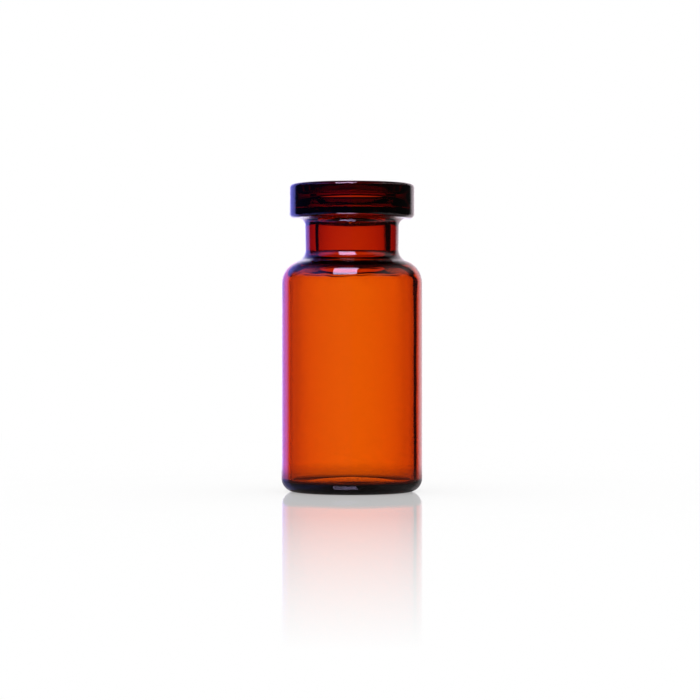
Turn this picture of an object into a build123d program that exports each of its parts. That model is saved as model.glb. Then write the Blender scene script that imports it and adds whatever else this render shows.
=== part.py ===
from build123d import *
import math
import os

# Crimp-neck sample vial, formed in one piece from a length of amber glass tube.
#
# Millimetres, +Z up.  The origin is on the vial's axis, on the surface that it stands on.
# The whole vial is one revolved section: the outer skin from the middle of the foot up to the
# mouth, then the inner skin back down to the middle of the floor.

# Overall
overall_height = 32.0
body_diameter = 14.65
body_wall = 0.85

# Foot: the vial stands on a narrow ring, and the middle is pushed up by the forming tool
floor_thickness = 1.1
heel_radius = 1.4             # outer corner between the foot and the body
inner_heel_radius = 0.35      # inner corner between the floor and the body
standing_ring_width = 0.625   # between the heel and the hollow under the foot
push_up_height = 0.35
push_up_crown_diameter = 4.0  # the nearly flat middle of the hollow
push_up_crown_radius = 30.0
push_up_rim_radius = 6.0

# Shoulder: a shallow cone, rounded into the body and into the neck
shoulder_slope = 20.0         # degrees above level
shoulder_radius = 2.45
neck_root_radius = 1.25       # hollow round where the shoulder turns up into the neck
shoulder_wall = 0.85
inner_shoulder_radius = 1.6
bore_foot_radius = 0.8        # round at the lower end of the bore

# Neck and crimp finish
neck_length = 4.085           # from the shoulder's upper corner to the underside of the flange
neck_top_diameter = 9.8
neck_foot_diameter = 9.68
bore_diameter = 7.0
flange_diameter = 13.0
flange_height = 3.6
flange_root_radius = 0.75     # hollow round under the flange
flange_lower_edge_radius = 0.5
flange_upper_edge_radius = 0.4

# Inside the flange, from the sealing face down: a flared mouth, a round lip where its faces would
# meet at the bore's own width, a groove that holds the stopper's plug, and the top of the bore
mouth_flare = 1.2             # how far the mouth opens beyond the bore, on the radius
mouth_edge_radius = 0.4
lip_depth = 1.3               # below the sealing face, as are the next two depths
lip_radius = 0.7
groove_depth = 2.5
groove_width = 1.1            # how far it is cut back beyond the bore, on the radius
groove_radius = 0.1
bore_top_depth = 3.4
bore_top_radius = 0.8

FILLET_ROOM = 0.98            # share of an edge that the rounds at its two ends may use up


def fitted_radii(corners):
    """Keep each round as asked, and shrink two neighbours only where their edge can't hold both."""
    points = [Vector(r, z) for r, z, _ in corners]
    radii = [radius for _, _, radius in corners]
    reach = [0.0] * len(corners)  # how far along its edges each round starts
    for i in range(1, len(corners) - 1):
        turn = (points[i] - points[i - 1]).get_angle(points[i + 1] - points[i])
        reach[i] = math.tan(math.radians(turn) / 2)
    for i in range(len(corners) - 1):
        room = FILLET_ROOM * (points[i + 1] - points[i]).length
        used = radii[i] * reach[i] + radii[i + 1] * reach[i + 1]
        if used > room:
            radii[i] *= room / used
            radii[i + 1] *= room / used
    return radii[1:-1]


# Places worked out from the sizes
body_r = body_diameter / 2
bore_r = bore_diameter / 2
inner_r = body_r - body_wall
neck_top_r = neck_top_diameter / 2
neck_foot_r = neck_foot_diameter / 2
flange_r = flange_diameter / 2
crown_r = push_up_crown_diameter / 2
ring_r = body_r - heel_radius - standing_ring_width
slope = math.tan(math.radians(shoulder_slope))

flange_underside = overall_height - flange_height
neck_foot = flange_underside - neck_length
body_top = neck_foot - (body_r - neck_foot_r) * slope

# The inner shoulder lies parallel to the outer one, a wall's thickness below it
wall_drop = shoulder_wall / math.cos(math.radians(shoulder_slope))
inner_body_top = body_top + body_wall * slope - wall_drop
bore_foot = inner_body_top + (inner_r - bore_r) * slope

# Corners of the section as radius from the axis, height, and the round on the corner
outer_skin = [
    (0, push_up_height, 0),
    (crown_r, push_up_height, push_up_crown_radius),
    (ring_r, 0, push_up_rim_radius),
    (body_r, 0, heel_radius),
    (body_r, body_top, shoulder_radius),
    (neck_foot_r, neck_foot, neck_root_radius),
    (neck_top_r, flange_underside, flange_root_radius),
    (flange_r, flange_underside, flange_lower_edge_radius),
    (flange_r, overall_height, flange_upper_edge_radius),
]
inner_skin = [
    (bore_r + mouth_flare, overall_height, mouth_edge_radius),
    (bore_r, overall_height - lip_depth, lip_radius),
    (bore_r + groove_width, overall_height - groove_depth, groove_radius),
    (bore_r, overall_height - bore_top_depth, bore_top_radius),
    (bore_r, bore_foot, bore_foot_radius),
    (inner_r, inner_body_top, inner_shoulder_radius),
    (inner_r, floor_thickness, inner_heel_radius),
    (ring_r, floor_thickness, push_up_rim_radius),
    (crown_r, push_up_height + floor_thickness, push_up_crown_radius),
    (0, push_up_height + floor_thickness, 0),
]
corners = outer_skin + inner_skin

with BuildPart() as vial:
    with BuildSketch(Plane.XZ):
        with BuildLine() as section:
            skin = FilletPolyline(*[(r, z) for r, z, _ in corners], radius=fitted_radii(corners))
            Line(skin @ 1, skin @ 0)
        make_face()
    revolve(axis=Axis.Z)

os.makedirs("parts", exist_ok=True)
export_step(vial.part, "parts/glass_vial.step")
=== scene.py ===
"""Amber crimp-neck sample vial in a plain white studio.

The vial is one piece of tubular glass.  Its section is drawn from a few sizes, turned round the
axis by a Geometry Nodes tree that also adds the slight unevenness of hot-formed glass, and dressed
as amber borosilicate glass.
"""

from __future__ import annotations

import logging
import math
from dataclasses import dataclass, field
from typing import Any

import bpy
import bmesh
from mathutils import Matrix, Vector

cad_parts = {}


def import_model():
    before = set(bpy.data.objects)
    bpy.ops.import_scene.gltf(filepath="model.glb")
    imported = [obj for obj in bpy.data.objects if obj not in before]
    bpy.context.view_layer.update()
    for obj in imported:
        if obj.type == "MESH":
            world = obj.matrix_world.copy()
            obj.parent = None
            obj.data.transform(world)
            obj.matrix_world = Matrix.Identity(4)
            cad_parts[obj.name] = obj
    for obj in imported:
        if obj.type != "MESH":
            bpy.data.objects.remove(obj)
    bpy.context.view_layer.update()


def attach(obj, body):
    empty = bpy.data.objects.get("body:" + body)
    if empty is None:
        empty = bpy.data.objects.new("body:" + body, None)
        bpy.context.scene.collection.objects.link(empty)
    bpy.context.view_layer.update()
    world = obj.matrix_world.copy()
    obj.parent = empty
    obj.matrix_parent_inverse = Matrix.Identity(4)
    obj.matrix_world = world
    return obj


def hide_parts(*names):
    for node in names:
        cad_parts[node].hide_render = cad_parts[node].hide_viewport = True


log = logging.getLogger("vial")

MM = 0.001


# ---------------------------------------------------------------- helpers

def linear(hex_colour: str) -> tuple[float, float, float, float]:
    """Turn an sRGB hex colour into linear RGBA.

    Args:
        hex_colour: colour as "#RRGGBB".

    Returns:
        Linear red, green and blue, and an alpha of 1.
    """
    channels = [int(hex_colour[i:i + 2], 16) / 255 for i in (1, 3, 5)]
    red, green, blue = (c / 12.92 if c <= 0.04045 else ((c + 0.055) / 1.055) ** 2.4
                        for c in channels)
    return red, green, blue, 1.0


def add_node(tree: bpy.types.NodeTree, kind: str, inputs: dict[Any, Any] | None = None,
             **settings: Any) -> bpy.types.Node:
    """Add a node, set it up and link it.

    Args:
        tree: node tree to add to.
        kind: Blender's name for the node type.
        inputs: socket name or index, to a plain value or to the output socket that feeds it.
        **settings: attributes set on the node itself.

    Returns:
        The new node.
    """
    node = tree.nodes.new(kind)
    for name, value in settings.items():
        setattr(node, name, value)
    for socket, value in (inputs or {}).items():
        if isinstance(value, bpy.types.NodeSocket):
            tree.links.new(value, node.inputs[socket])
        else:
            node.inputs[socket].default_value = value
    return node


# ---------------------------------------------------------------- the vial's section

@dataclass(frozen=True)
class Corner:
    """One corner of the section, in millimetres."""

    radius: float
    height: float
    round_over: float = 0.0
    wave: float = 0.0             # share of the glass's unevenness found here


@dataclass
class VialSection:
    """Sizes of the revolved section, in millimetres, the same as the CAD model's."""

    overall_height: float = 32.0
    body_r: float = 7.325
    body_wall: float = 0.85
    floor_thickness: float = 1.1
    heel: float = 1.4
    inner_heel: float = 0.35
    ring_r: float = 5.3
    push_up: float = 0.35
    crown_r: float = 2.0
    crown_round: float = 30.0
    rim_round: float = 6.0
    shoulder_slope: float = 20.0  # degrees above level
    shoulder_round: float = 2.45
    neck_root: float = 1.25
    shoulder_wall: float = 0.85
    inner_shoulder_round: float = 1.6
    bore_foot_round: float = 0.8
    neck_length: float = 4.085
    neck_top_r: float = 4.9
    neck_foot_r: float = 4.84
    bore_r: float = 3.5
    flange_r: float = 6.5
    flange_height: float = 3.6
    flange_root: float = 0.75
    flange_lower_edge: float = 0.5
    flange_upper_edge: float = 0.4
    mouth_flare: float = 1.2      # beyond the bore, on the radius
    mouth_edge: float = 0.4
    lip_depth: float = 1.3        # below the sealing face, as are the next two depths
    lip_round: float = 0.7
    groove_depth: float = 2.5
    groove_width: float = 1.1     # beyond the bore, on the radius
    groove_round: float = 0.1
    bore_top_depth: float = 3.4
    bore_top_round: float = 0.8
    mouth_wave: float = 0.2       # share of the unevenness down the inside, mouth to floor
    groove_wave: float = 0.5
    bore_wave: float = 0.6
    shoulder_wave: float = 1.0
    heel_wave: float = 0.15
    floor_wave: float = 0.3

    def corners(self) -> list[Corner]:
        """Corners from the middle of the foot, up the outside, and back down the inside.

        Returns:
            The corners in order along the skin.
        """
        slope = math.tan(math.radians(self.shoulder_slope))
        underside = self.overall_height - self.flange_height
        neck_foot = underside - self.neck_length
        body_top = neck_foot - (self.body_r - self.neck_foot_r) * slope
        inner_r = self.body_r - self.body_wall
        drop = self.shoulder_wall / math.cos(math.radians(self.shoulder_slope))
        inner_top = body_top + self.body_wall * slope - drop
        bore_foot = inner_top + (inner_r - self.bore_r) * slope
        floor = self.floor_thickness
        top = self.overall_height
        return [
            Corner(0, self.push_up),
            Corner(self.crown_r, self.push_up, self.crown_round),
            Corner(self.ring_r, 0, self.rim_round),
            Corner(self.body_r, 0, self.heel),
            Corner(self.body_r, body_top, self.shoulder_round),
            Corner(self.neck_foot_r, neck_foot, self.neck_root),
            Corner(self.neck_top_r, underside, self.flange_root),
            Corner(self.flange_r, underside, self.flange_lower_edge),
            Corner(self.flange_r, self.overall_height, self.flange_upper_edge),
            Corner(self.bore_r + self.mouth_flare, top, self.mouth_edge, self.mouth_wave),
            Corner(self.bore_r, top - self.lip_depth, self.lip_round, self.groove_wave),
            Corner(self.bore_r + self.groove_width, top - self.groove_depth, self.groove_round,
                   self.groove_wave),
            Corner(self.bore_r, top - self.bore_top_depth, self.bore_top_round, self.groove_wave),
            Corner(self.bore_r, bore_foot, self.bore_foot_round, self.bore_wave),
            Corner(inner_r, inner_top, self.inner_shoulder_round, self.shoulder_wave),
            Corner(inner_r, floor, self.inner_heel, self.heel_wave),
            Corner(self.ring_r, floor, self.rim_round, self.floor_wave),
            Corner(self.crown_r, self.push_up + floor, self.crown_round, self.floor_wave),
            Corner(0, self.push_up + floor, 0, self.floor_wave),
        ]


@dataclass(frozen=True)
class SkinPoint:
    """One point of the finished outline, in millimetres, with the unevenness it may take."""

    radius: float
    height: float
    wave: float


@dataclass
class Outline:
    """The section's outline in millimetres: corners rounded off and long runs divided."""

    corners: list[Corner]
    degrees_per_step: float = 6.0
    fewest_steps: int = 4
    longest_run: float = 0.8
    wave_fade: float = 2.5        # the unevenness changes over this length of a straight run

    def _arc(self, before: Corner, corner: Corner, after: Corner) -> list[SkinPoint]:
        """Points of the round on one corner.

        Args:
            before: the corner before it.
            corner: the corner to round.
            after: the corner after it.

        Returns:
            The points of the arc, from tangent point to tangent point.
        """
        here = Vector((corner.radius, corner.height))
        back = (Vector((before.radius, before.height)) - here).normalized()
        ahead = (Vector((after.radius, after.height)) - here).normalized()
        if corner.round_over == 0:
            return [SkinPoint(corner.radius, corner.height, corner.wave)]
        opening = back.angle(ahead)
        turn = math.pi - opening
        start = here + back * corner.round_over / math.tan(opening / 2)
        middle = here + (back + ahead).normalized() * corner.round_over / math.sin(opening / 2)
        steps = max(self.fewest_steps, math.ceil(math.degrees(turn) / self.degrees_per_step))
        spoke = start - middle
        sense = -1 if back.cross(ahead) > 0 else 1
        points = []
        for step in range(steps + 1):
            angle = sense * turn * step / steps
            turned = Vector((spoke.x * math.cos(angle) - spoke.y * math.sin(angle),
                             spoke.x * math.sin(angle) + spoke.y * math.cos(angle)))
            points.append(SkinPoint(middle.x + turned.x, middle.y + turned.y, corner.wave))
        return points

    def points(self) -> list[SkinPoint]:
        """Every point of the outline in order.

        Returns:
            The rounded, divided outline, from the axis under the foot to the axis on the floor.
        """
        ends = self.corners
        found = [SkinPoint(ends[0].radius, ends[0].height, ends[0].wave)]
        arcs = [self._arc(*ends[i - 1:i + 2]) for i in range(1, len(ends) - 1)]
        last = SkinPoint(ends[-1].radius, ends[-1].height, ends[-1].wave)
        for arc in arcs + [[last]]:
            start = found[-1]
            run = math.hypot(arc[0].radius - start.radius, arc[0].height - start.height)
            parts = max(1, math.ceil(run / self.longest_run))
            for part in range(1, parts):
                t = part / parts
                eased = min(1.0, t * run / self.wave_fade)
                found.append(SkinPoint(start.radius + (arc[0].radius - start.radius) * t,
                                       start.height + (arc[0].height - start.height) * t,
                                       start.wave + (arc[0].wave - start.wave) * eased))
            found.extend(arc)
        return found


# ---------------------------------------------------------------- finishes

@dataclass(frozen=True)
class AmberGlass:
    """Amber borosilicate tube, flame-worked and fire-polished.

    Iron and titanium in the melt soak up blue and most of the green, so a thin wall glows orange
    and the solid flange and foot go almost black.
    """

    name: str = "amber_borosilicate_glass"
    ior: float = 1.49
    red_per_mm: float = 0.56      # soaked up along the light's path, as a natural logarithm
    green_per_mm: float = 1.8
    blue_per_mm: float = 5.0
    draw_pitch: float = 0.6       # mm between the faint draw lines round the tube
    draw_stretch: float = 0.02    # how much slower they change along it
    draw_depth: float = 0.01      # mm
    draw_strength: float = 0.008

    def build(self) -> bpy.types.Material:
        """Make the material.

        Returns:
            The finished material.
        """
        material = bpy.data.materials.new(self.name)
        material.use_nodes = True
        tree = material.node_tree
        tree.nodes.clear()
        place = add_node(tree, "ShaderNodeTexCoord").outputs["Object"]
        # Faint draw lines of the tube: long and straight up the wall, close together round it
        stretch = add_node(tree, "ShaderNodeMapping", {"Vector": place,
                                                       "Scale": (1.0, 1.0, self.draw_stretch)})
        drawn = add_node(tree, "ShaderNodeTexNoise", {
            "Vector": stretch.outputs["Vector"], "Scale": 1 / (self.draw_pitch * MM), "Detail": 1.0})
        bump = add_node(tree, "ShaderNodeBump", {"Height": drawn.outputs["Fac"],
                                                 "Strength": self.draw_strength,
                                                 "Distance": self.draw_depth * MM})
        surface = add_node(tree, "ShaderNodeBsdfPrincipled", {
            "Base Color": (1, 1, 1, 1), "Roughness": 0.0, "IOR": self.ior, "Transmission Weight": 1.0,
            "Normal": bump.outputs["Normal"]})
        # One density in 1/m, and a colour that leaves each channel its own share of it
        density = self.blue_per_mm / MM
        tint = (1 - self.red_per_mm / self.blue_per_mm, 1 - self.green_per_mm / self.blue_per_mm, 0, 1)
        volume = add_node(tree, "ShaderNodeVolumeAbsorption", {"Color": tint, "Density": density})
        add_node(tree, "ShaderNodeOutputMaterial", {"Surface": surface.outputs["BSDF"],
                                                    "Volume": volume.outputs["Volume"]})
        return material


# ---------------------------------------------------------------- the vial

@dataclass
class GlassVial:
    """The whole vial: one closed body of revolution in amber glass."""

    section: VialSection = field(default_factory=VialSection)
    finish: AmberGlass = field(default_factory=AmberGlass)
    sides: int = 256
    wave_height: float = 0.07     # greatest unevenness of the inner skin, mm
    wave_pitch: float = 2.4       # from one swell to the next, mm
    wave_seed: float = 11.0
    weld: float = 0.0005          # points closer than this are one, mm
    node: str = "glass_vial"

    def _profile(self) -> bpy.types.Object:
        """Lay the outline out as a string of edges in the XZ plane.

        Returns:
            An object whose points carry how uneven the glass is there.
        """
        points = Outline(self.section.corners()).points()
        mesh = bpy.data.meshes.new("vial_profile")
        mesh.from_pydata([(p.radius * MM, 0, p.height * MM) for p in points],
                         [(i, i + 1) for i in range(len(points) - 1)], [])
        wave = mesh.attributes.new("wave", "FLOAT", "POINT")
        for item, point in zip(wave.data, points):
            item.value = point.wave
        profile = bpy.data.objects.new("amber_vial", mesh)
        bpy.context.scene.collection.objects.link(profile)
        return profile

    def _turning_tree(self) -> bpy.types.GeometryNodeTree:
        """Build the node tree that turns a profile round the Z axis and waves its skin.

        Returns:
            The node tree, with its sizes as named inputs.
        """
        tree = bpy.data.node_groups.new("turn_vial", "GeometryNodeTree")
        sockets = (("Profile", "NodeSocketGeometry"), ("Sides", "NodeSocketInt"),
                   ("Wave height", "NodeSocketFloat"), ("Wave pitch", "NodeSocketFloat"),
                   ("Wave seed", "NodeSocketFloat"), ("Weld", "NodeSocketFloat"),
                   ("Glass", "NodeSocketMaterial"))
        for name, kind in sockets:
            tree.interface.new_socket(name=name, in_out="INPUT", socket_type=kind)
        tree.interface.new_socket(name="Vial", in_out="OUTPUT", socket_type="NodeSocketGeometry")
        given = add_node(tree, "NodeGroupInput").outputs
        count = add_node(tree, "GeometryNodeAttributeDomainSize", {"Geometry": given["Profile"]},
                         component="MESH")
        around = add_node(tree, "ShaderNodeMath", {0: given["Sides"], 1: 1.0}, operation="ADD")
        grid = add_node(tree, "GeometryNodeMeshGrid", {"Vertices X": count.outputs["Point Count"],
                                                       "Vertices Y": around.outputs[0]})
        # Row of the grid = point along the profile, column = step round the axis
        index = add_node(tree, "GeometryNodeInputIndex").outputs["Index"]
        ratio = add_node(tree, "ShaderNodeMath", {0: index, 1: around.outputs[0]},
                         operation="DIVIDE")
        row = add_node(tree, "ShaderNodeMath", {0: ratio.outputs[0]}, operation="FLOOR")
        column = add_node(tree, "ShaderNodeMath", {0: index, 1: around.outputs[0]},
                          operation="MODULO")
        turn = add_node(tree, "ShaderNodeMath", {0: column.outputs[0], 1: given["Sides"]},
                        operation="DIVIDE")
        angle = add_node(tree, "ShaderNodeMath", {0: turn.outputs[0], 1: 2 * math.pi},
                         operation="MULTIPLY")
        place = add_node(tree, "GeometryNodeInputPosition").outputs["Position"]
        wave = add_node(tree, "GeometryNodeInputNamedAttribute", {"Name": "wave"}, data_type="FLOAT")
        on_profile = add_node(tree, "GeometryNodeSampleIndex", {
            "Geometry": given["Profile"], "Value": place, "Index": row.outputs[0]},
            data_type="FLOAT_VECTOR")
        its_wave = add_node(tree, "GeometryNodeSampleIndex", {
            "Geometry": given["Profile"], "Value": wave.outputs["Attribute"], "Index": row.outputs[0]},
            data_type="FLOAT")
        turned = add_node(tree, "ShaderNodeVectorRotate", {
            "Vector": on_profile.outputs["Value"], "Angle": angle.outputs[0]},
            rotation_type="Z_AXIS")
        body = add_node(tree, "GeometryNodeSetPosition", {"Geometry": grid.outputs["Mesh"],
                                                          "Position": turned.outputs["Vector"]})
        kept = add_node(tree, "GeometryNodeStoreNamedAttribute", {
            "Geometry": body.outputs["Geometry"], "Name": "wave", "Value": its_wave.outputs["Value"]},
            data_type="FLOAT", domain="POINT")
        closed = add_node(tree, "GeometryNodeMergeByDistance", {"Geometry": kept.outputs["Geometry"],
                                                                "Distance": given["Weld"]})
        # Unevenness: a slow swell in space, so that it meets itself all the way round
        pitch = add_node(tree, "ShaderNodeMath", {0: 1.0, 1: given["Wave pitch"]}, operation="DIVIDE")
        swell = add_node(tree, "ShaderNodeTexNoise", {
            "Vector": place, "W": given["Wave seed"], "Scale": pitch.outputs[0], "Detail": 1.0},
            noise_dimensions="4D")
        centred = add_node(tree, "ShaderNodeMath", {0: swell.outputs[0], 1: 0.5}, operation="SUBTRACT")
        share = add_node(tree, "ShaderNodeMath", {0: centred.outputs[0], 1: wave.outputs["Attribute"]},
                         operation="MULTIPLY")
        lift = add_node(tree, "ShaderNodeMath", {0: share.outputs[0], 1: given["Wave height"]},
                        operation="MULTIPLY")
        normal = add_node(tree, "GeometryNodeInputNormal").outputs["Normal"]
        offset = add_node(tree, "ShaderNodeVectorMath", {0: normal, "Scale": lift.outputs[0]},
                          operation="SCALE")
        waved = add_node(tree, "GeometryNodeSetPosition", {"Geometry": closed.outputs["Geometry"],
                                                           "Offset": offset.outputs["Vector"]})
        smooth = add_node(tree, "GeometryNodeSetShadeSmooth", {"Geometry": waved.outputs["Geometry"]})
        real = add_node(tree, "GeometryNodeRealizeInstances", {"Geometry": smooth.outputs["Geometry"]})
        glass = add_node(tree, "GeometryNodeSetMaterial", {"Geometry": real.outputs["Geometry"],
                                                           "Material": given["Glass"]})
        add_node(tree, "NodeGroupOutput", {"Vial": glass.outputs["Geometry"]})
        return tree

    def build(self) -> bpy.types.Object:
        """Turn the section into a closed, smooth mesh of glass.

        Returns:
            The finished vial as a plain mesh at the origin.
        """
        vial = self._profile()
        tree = self._turning_tree()
        turning = vial.modifiers.new("turning", "NODES")
        turning.node_group = tree
        settings = {"Sides": self.sides, "Wave height": 2 * self.wave_height * MM,
                    "Wave pitch": self.wave_pitch * MM, "Wave seed": self.wave_seed,
                    "Weld": self.weld * MM, "Glass": self.finish.build()}
        for item in tree.interface.items_tree:
            if item.in_out == "INPUT" and item.name in settings:
                turning[item.identifier] = settings[item.name]
        evaluated = vial.evaluated_get(bpy.context.evaluated_depsgraph_get())
        mesh = bpy.data.meshes.new_from_object(evaluated)
        vial.modifiers.remove(turning)
        vial.data = mesh
        shell = bmesh.new()
        shell.from_mesh(mesh)
        if shell.calc_volume(signed=True) < 0:
            bmesh.ops.reverse_faces(shell, faces=shell.faces)
        open_edges = sum(1 for edge in shell.edges if not edge.is_manifold)
        log.info("%s: %d faces, %d open edges, %.0f cubic mm of glass", vial.name, len(shell.faces),
                 open_edges, shell.calc_volume() / MM ** 3)
        shell.to_mesh(mesh)
        shell.free()
        return vial


# ---------------------------------------------------------------- the studio

@dataclass(frozen=True)
class Fade:
    """A soft edge in the surroundings, from its full strength to nothing, in degrees."""

    full: float
    gone: float

    def mask(self, tree: bpy.types.NodeTree, degrees: bpy.types.NodeSocket,
             peak: float = 1.0) -> bpy.types.NodeSocket:
        """Turn the angle of a direction into how much is left there.

        Args:
            tree: node tree to add to.
            degrees: the direction's angle.
            peak: the value at full strength.

        Returns:
            The fade, from 0 to the peak.
        """
        rises = self.full > self.gone
        low, high = sorted((self.full, self.gone))
        return add_node(tree, "ShaderNodeMapRange", {
            "Value": degrees, "From Min": low, "From Max": high,
            "To Min": 0.0 if rises else peak, "To Max": peak if rises else 0.0},
            interpolation_type="SMOOTHSTEP").outputs["Result"]


@dataclass(frozen=True)
class Directions:
    """Which way a ray leaves for the surroundings, in degrees."""

    azimuth: bpy.types.NodeSocket   # round from straight behind the vial, positive to the right
    rise: bpy.types.NodeSocket      # above level
    turned: bpy.types.NodeSocket    # azimuth, either way
    steep: bpy.types.NodeSocket     # above or below level
    aside: bpy.types.NodeSocket     # out to either side of the upright plane through the camera

    @classmethod
    def read(cls, tree: bpy.types.NodeTree) -> Directions:
        """Work the angles out from the direction of the ray.

        Args:
            tree: world node tree to add to.

        Returns:
            The angles as sockets.
        """
        seen = add_node(tree, "ShaderNodeTexCoord").outputs["Generated"]
        axes = add_node(tree, "ShaderNodeSeparateXYZ", {"Vector": seen}).outputs
        angles = (add_node(tree, "ShaderNodeMath", {0: axes["X"], 1: axes["Y"]}, operation="ARCTAN2"),
                  add_node(tree, "ShaderNodeMath", {0: axes["Z"]}, operation="ARCSINE"),
                  add_node(tree, "ShaderNodeMath", {0: axes["X"]}, operation="ARCSINE"))
        azimuth, rise, side = (add_node(tree, "ShaderNodeMath", {0: angle.outputs[0]},
                                        operation="DEGREES").outputs[0] for angle in angles)
        turned, steep, aside = (add_node(tree, "ShaderNodeMath", {0: angle},
                                         operation="ABSOLUTE").outputs[0]
                                for angle in (azimuth, rise, side))
        return cls(azimuth, rise, turned, steep, aside)


@dataclass
class Surroundings:
    """What lies beyond the table: plain white to look at, a softly banded studio to the glass."""

    wall_light: float = 2.24      # brightness of the lit wall behind the vial
    wall_top: Fade = Fade(13.5, 18.5)
    wall_left: Fade = Fade(-47.5, -49.5)
    wall_right: Fade = Fade(34.0, 36.0)
    room_light: float = 1.2       # the rest of the studio, to both sides and behind the camera
    room_side: Fade = Fade(90.0, 75.0)
    room_top: Fade = Fade(37.0, 53.0)
    corner_side: Fade = Fade(42.0, 34.0)  # it comes round closer behind the vial above the wall
    corner_foot: Fade = Fade(22.0, 17.0)
    dark: float = 0.02            # the gaps between them
    rim_left: Fade = Fade(-45.0, -57.0)   # how the wall dies away in what the outer skin mirrors
    rim_right: Fade = Fade(30.0, 47.0)
    rim_top: Fade = Fade(18.0, 48.0)
    wing_side: Fade = Fade(48.5, 23.5)    # a glow high on both sides, which the shoulder catches
    wing_top: Fade = Fade(37.0, 17.5)
    wing_share: float = 0.6       # of the wall's light
    front_glow: float = 0.06      # dim room behind the camera, mirrored in the face of the glass
    tint_span: tuple[float, float] = (-32.0, 8.0)   # azimuths of the left and right tints
    left_tint: str = "#8484FF"
    middle_tint: str = "#E2DCFF"
    right_tint: str = "#B8ACB2"
    white: str = "#FFFFFF"

    def _through_glass(self, tree: bpy.types.NodeTree, look: Directions) -> bpy.types.NodeSocket:
        """Brightness that the glass lets through: lit wall, dark gaps, and the room round about.

        Args:
            tree: node tree to add to.
            look: the ray's angles.

        Returns:
            The brightness.
        """
        height = self.wall_top.mask(tree, look.steep, self.wall_light)
        left = add_node(tree, "ShaderNodeMath", {0: height, 1: self.wall_left.mask(tree, look.azimuth)},
                        operation="MULTIPLY")
        wall = add_node(tree, "ShaderNodeMath", {0: left.outputs[0],
                                                 1: self.wall_right.mask(tree, look.azimuth)},
                        operation="MULTIPLY")
        corner = add_node(tree, "ShaderNodeMath", {
            0: self.corner_side.mask(tree, look.turned, self.room_light),
            1: self.corner_foot.mask(tree, look.steep)}, operation="MULTIPLY")
        side = add_node(tree, "ShaderNodeMath", {
            0: self.room_side.mask(tree, look.turned, self.room_light), 1: corner.outputs[0]},
            operation="MAXIMUM")
        room = add_node(tree, "ShaderNodeMath", {0: side.outputs[0],
                                                 1: self.room_top.mask(tree, look.steep)},
                        operation="MULTIPLY")
        lit = add_node(tree, "ShaderNodeMath", {0: wall.outputs[0], 1: room.outputs[0]},
                       operation="MAXIMUM")
        return add_node(tree, "ShaderNodeMath", {0: lit.outputs[0], 1: self.dark},
                        operation="MAXIMUM").outputs[0]

    def _on_skin(self, tree: bpy.types.NodeTree, look: Directions) -> bpy.types.NodeSocket:
        """Brightness that the outer skin mirrors along its rims and on its shoulder.

        Args:
            tree: node tree to add to.
            look: the ray's angles.

        Returns:
            The brightness.
        """
        across = add_node(tree, "ShaderNodeMath", {0: self.rim_left.mask(tree, look.azimuth),
                                                   1: self.rim_right.mask(tree, look.azimuth)},
                          operation="MULTIPLY")
        rim = add_node(tree, "ShaderNodeMath", {0: across.outputs[0],
                                                1: self.rim_top.mask(tree, look.steep)},
                       operation="MULTIPLY")
        wings = add_node(tree, "ShaderNodeMath", {
            0: self.wing_side.mask(tree, look.aside),
            1: self.wing_top.mask(tree, look.rise, self.wing_share)}, operation="MULTIPLY")
        both = add_node(tree, "ShaderNodeMath", {0: rim.outputs[0], 1: wings.outputs[0]},
                        operation="MAXIMUM")
        return add_node(tree, "ShaderNodeMath", {0: both.outputs[0], 1: self.wall_light,
                                                 2: self.front_glow},
                        operation="MULTIPLY_ADD").outputs[0]

    def _skin_tint(self, tree: bpy.types.NodeTree, look: Directions) -> bpy.types.NodeSocket:
        """Colour that the outer skin mirrors, from the left of the studio to the right.

        Args:
            tree: node tree to add to.
            look: the ray's angles.

        Returns:
            The colour.
        """
        left, right = self.tint_span
        across = add_node(tree, "ShaderNodeMapRange", {"Value": look.azimuth, "From Min": left,
                                                       "From Max": right})
        tint = add_node(tree, "ShaderNodeValToRGB", {"Fac": across.outputs["Result"]})
        ramp = tint.color_ramp
        ramp.elements[0].color = linear(self.left_tint)
        ramp.elements[1].color = linear(self.right_tint)
        ramp.elements.new(0.5).color = linear(self.middle_tint)
        return tint.outputs["Color"]

    def build(self) -> bpy.types.World:
        """Make the world.

        Returns:
            The world, set on the scene.
        """
        world = bpy.data.worlds.new("studio")
        bpy.context.scene.world = world
        world.use_nodes = True
        tree = world.node_tree
        tree.nodes.clear()
        ray = add_node(tree, "ShaderNodeLightPath").outputs
        look = Directions.read(tree)
        glassy = add_node(tree, "ShaderNodeMath", {
            0: ray["Is Singular Ray"], 1: ray["Is Transmission Ray"]}, operation="MAXIMUM")
        plain = add_node(tree, "ShaderNodeMix", {
            "Factor": glassy.outputs[0], "A": 1.0, "B": self._through_glass(tree, look)},
            data_type="FLOAT")
        # A clean mirror ray that has not been through the glass yet comes off the outer skin
        outside = add_node(tree, "ShaderNodeMath", {0: ray["Transmission Depth"], 1: 0.5},
                           operation="LESS_THAN")
        sharp = add_node(tree, "ShaderNodeMath", {0: ray["Is Glossy Ray"], 1: ray["Is Singular Ray"]},
                         operation="MULTIPLY")
        skin = add_node(tree, "ShaderNodeMath", {0: outside.outputs[0], 1: sharp.outputs[0]},
                        operation="MULTIPLY").outputs[0]
        strength = add_node(tree, "ShaderNodeMix", {"Factor": skin, "A": plain.outputs["Result"],
                                                    "B": self._on_skin(tree, look)}, data_type="FLOAT")
        colour = add_node(tree, "ShaderNodeMix", {0: skin, 6: linear(self.white),
                                                  7: self._skin_tint(tree, look)}, data_type="RGBA")
        light = add_node(tree, "ShaderNodeBackground", {"Color": colour.outputs[2],
                                                        "Strength": strength.outputs["Result"]})
        add_node(tree, "ShaderNodeOutputWorld", {"Surface": light.outputs["Background"]})
        return world


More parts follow.
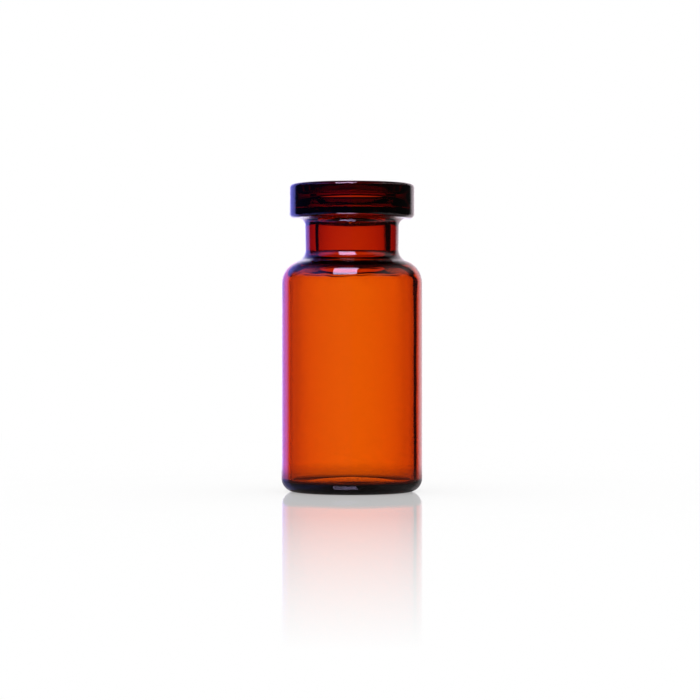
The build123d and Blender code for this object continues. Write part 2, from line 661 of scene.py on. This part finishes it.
@dataclass
class Table:
    """The glossy white acrylic sheet that the vial stands on, in millimetres."""

    radius: float = 150.0
    sides: int = 128
    mirror: float = 0.47          # how well it mirrors the vial close to it,
    mirror_from: float = 35.0     # out to here,
    mirror_reach: float = 131.0   # and not at all from here on
    roughness: float = 0.03
    own_glow: float = 0.6         # share of its light that does not depend on the studio's
    shade_full_within: float = 10.0    # painted shade: to rays through the glass the sheet is dim this close to the vial,
    shade_gone_beyond: float = 60.0     # and the painted shade is gone from here on, where the sheet is a mirror to the glass
    painted_shade_glow: float = 0.16      # painted shade: how bright the sheet looks to rays through the glass; to the eye it is white
    white: str = "#FFFFFF"

    def _acrylic(self) -> bpy.types.Material:
        """Cast acrylic sheet, polished: a hard white with a clear mirror image in it, with painted
        shade: a dim grey close to the vial where the glass looks down on it.

        Returns:
            The finished material.
        """
        material = bpy.data.materials.new("white_acrylic")
        material.use_nodes = True
        tree = material.node_tree
        tree.nodes.clear()
        camera = add_node(tree, "ShaderNodeLightPath").outputs["Is Camera Ray"]
        place = add_node(tree, "ShaderNodeTexCoord").outputs["Object"]
        away = add_node(tree, "ShaderNodeVectorMath", {0: place}, operation="LENGTH").outputs["Value"]
        near = add_node(tree, "ShaderNodeMapRange", {
            "Value": away, "From Min": self.mirror_from * MM, "From Max": self.mirror_reach * MM,
            "To Min": self.mirror, "To Max": 0.0})
        # Painted shade: seen through the glass the sheet is a dim grey close to the vial, and mirrors
        # more the farther off
        mirror_past_shade = add_node(tree, "ShaderNodeMapRange", {
            "Value": away, "From Min": self.shade_full_within * MM, "From Max": self.shade_gone_beyond * MM,
            "To Min": self.painted_shade_glow, "To Max": 1.0})
        share = add_node(tree, "ShaderNodeMix", {"Factor": camera, "A": mirror_past_shade.outputs["Result"],
                                                 "B": near.outputs["Result"]}, data_type="FLOAT")
        # Painted shade: to every ray but the eye's, the sheet glows and is coloured a dim grey
        bright = add_node(tree, "ShaderNodeMix", {"Factor": camera, "A": self.painted_shade_glow, "B": 1.0},
                          data_type="FLOAT")
        glow = add_node(tree, "ShaderNodeEmission", {"Color": linear(self.white),
                                                     "Strength": bright.outputs["Result"]})
        paint = add_node(tree, "ShaderNodeMix", {0: camera, 6: (self.painted_shade_glow,) * 3 + (1,),
                                                 7: linear(self.white)}, data_type="RGBA")
        matt = add_node(tree, "ShaderNodeBsdfDiffuse", {"Color": paint.outputs[2]})
        body = add_node(tree, "ShaderNodeMixShader", {0: self.own_glow, 1: matt.outputs[0],
                                                      2: glow.outputs[0]})
        # To the eye the polish is a shade soft; the glass sees a clean mirror of the studio
        soft, clean = (add_node(tree, "ShaderNodeBsdfGlossy", {"Color": linear(self.white),
                                                               "Roughness": roughness})
                       for roughness in (self.roughness, 0.0))
        gloss = add_node(tree, "ShaderNodeMixShader", {0: camera, 1: clean.outputs[0],
                                                       2: soft.outputs[0]})
        top = add_node(tree, "ShaderNodeMixShader", {0: share.outputs["Result"], 1: body.outputs[0],
                                                     2: gloss.outputs[0]})
        add_node(tree, "ShaderNodeOutputMaterial", {"Surface": top.outputs[0]})
        return material

    def build(self) -> bpy.types.Object:
        """Lay the sheet level under the vial's foot.

        Returns:
            The table top.
        """
        disc = bmesh.new()
        bmesh.ops.create_circle(disc, cap_ends=True, segments=self.sides, radius=self.radius * MM)
        mesh = bpy.data.meshes.new("table")
        disc.to_mesh(mesh)
        disc.free()
        mesh.materials.append(self._acrylic())
        table = bpy.data.objects.new("table", mesh)
        bpy.context.scene.collection.objects.link(table)
        return table


@dataclass
class SoftBox:
    """The lit cloth face of a soft box, in millimetres and degrees."""

    place: tuple[float, float, float] = (-63.0, -222.0, 358.0)
    size: tuple[float, float] = (233.0, 265.0)
    tilt: float = 58.4            # its face leans from level
    turn: float = -8.5            # and turns about the upright
    light: float = 14.0
    colour: str = "#DDC9FF"

    def build(self) -> bpy.types.Object:
        """Hang the soft box in front, above and a little to the left.

        It is only there for its highlights on the glass, and lights nothing else.

        Returns:
            The lit face.
        """
        face = bmesh.new()
        # A square of side 1, which the object's scale brings to size
        bmesh.ops.create_grid(face, x_segments=1, y_segments=1, size=0.5)
        mesh = bpy.data.meshes.new("soft_box")
        face.to_mesh(mesh)
        face.free()
        material = bpy.data.materials.new("soft_box_cloth")
        material.use_nodes = True
        tree = material.node_tree
        tree.nodes.clear()
        glow = add_node(tree, "ShaderNodeEmission", {"Color": linear(self.colour),
                                                     "Strength": self.light})
        add_node(tree, "ShaderNodeOutputMaterial", {"Surface": glow.outputs[0]})
        mesh.materials.append(material)
        box = bpy.data.objects.new("soft_box", mesh)
        box.location = [at * MM for at in self.place]
        box.scale = (self.size[0] * MM, self.size[1] * MM, 1.0)
        box.rotation_euler = (math.radians(self.tilt), 0, math.radians(self.turn))
        box.visible_camera = False
        box.visible_diffuse = False
        box.visible_transmission = False
        box.visible_shadow = False
        bpy.context.scene.collection.objects.link(box)
        return box


@dataclass
class Eye:
    """The camera, level with the middle of the vial, in millimetres."""

    height: float = 16.0
    distance: float = 258.0
    aim: tuple[float, float] = (-0.19, 14.74)   # across and up, where it points
    lens: float = 127.4
    sensor: float = 36.0
    nearest: float = 10.0         # closest thing that it sees

    def build(self) -> bpy.types.Object:
        """Place the camera and make it the scene's.

        Returns:
            The camera object.
        """
        data = bpy.data.cameras.new("camera")
        data.lens = self.lens
        data.sensor_width = self.sensor
        data.clip_start = self.nearest * MM
        camera = bpy.data.objects.new("camera", data)
        camera.location = (0, -self.distance * MM, self.height * MM)
        target = Vector((self.aim[0] * MM, 0, self.aim[1] * MM))
        camera.rotation_euler = (target - camera.location).to_track_quat("-Z", "Y").to_euler()
        bpy.context.scene.collection.objects.link(camera)
        bpy.context.scene.camera = camera
        return camera


@dataclass
class Studio:
    """Surroundings, table, soft box and camera; none of it is part of the vial."""

    surroundings: Surroundings = field(default_factory=Surroundings)
    table: Table = field(default_factory=Table)
    soft_box: SoftBox = field(default_factory=SoftBox)
    eye: Eye = field(default_factory=Eye)
    most_bounces: int = 32        # enough for light to work its way through both walls
    glass_bounces: int = 24
    mirror_bounces: int = 16

    def build(self) -> None:
        """Set the whole studio up."""
        scene = bpy.context.scene
        scene.view_settings.view_transform = "Standard"
        scene.cycles.max_bounces = self.most_bounces
        scene.cycles.transmission_bounces = self.glass_bounces
        scene.cycles.glossy_bounces = self.mirror_bounces
        scene.cycles.caustics_refractive = True
        scene.cycles.caustics_reflective = True
        self.eye.build()
        self.surroundings.build()
        self.table.build()
        self.soft_box.build()


def main() -> None:
    """Build the studio and the vial, and hand both to the frame."""
    logging.basicConfig(level=logging.INFO, format="%(name)s: %(message)s")
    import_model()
    Studio().build()
    vial = GlassVial()
    piece = vial.build()
    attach(piece, "root")
    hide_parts(vial.node)
    log.info("%s rides on root", piece.name)


if __name__ == "__main__":
    main()
